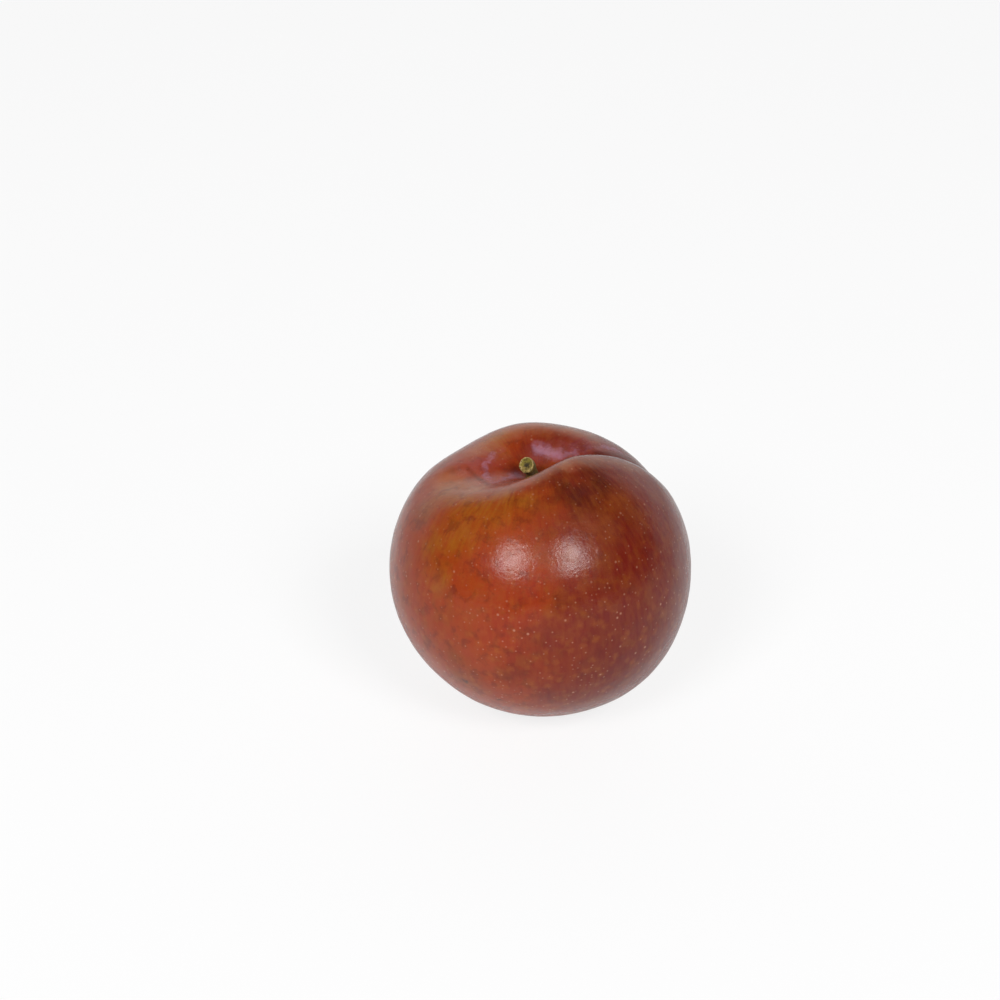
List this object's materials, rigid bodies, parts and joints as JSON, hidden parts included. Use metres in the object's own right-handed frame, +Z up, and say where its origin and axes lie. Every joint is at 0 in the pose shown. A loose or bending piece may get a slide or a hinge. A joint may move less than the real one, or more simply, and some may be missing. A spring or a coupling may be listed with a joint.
{
  "type": "plum",
  "caption": "Ripe red plum with a short dry stem in its stem cavity and a seam down one side, standing on a small flat spot.",
  "frame": {"origin": "centre of the flat spot that the plum stands on", "axes": "+Z up, from the flat spot through the fruit; the picture is taken looking along +Y, with +X to its right; the seam runs down the side at an azimuth of 21 degrees from +X towards +Y"},
  "size_m": [0.06, 0.06, 0.0574],
  "materials": {
    "skin": "waxy crimson fruit skin with orange patches, pale dots and a thin bloom, softly glossy",
    "stem": "dry olive-brown bark with a pale broken end, matt"
  },
  "bodies": {
    "root": {"fruit": "skin", "stem": "stem"}
  },
  "joints": []
}
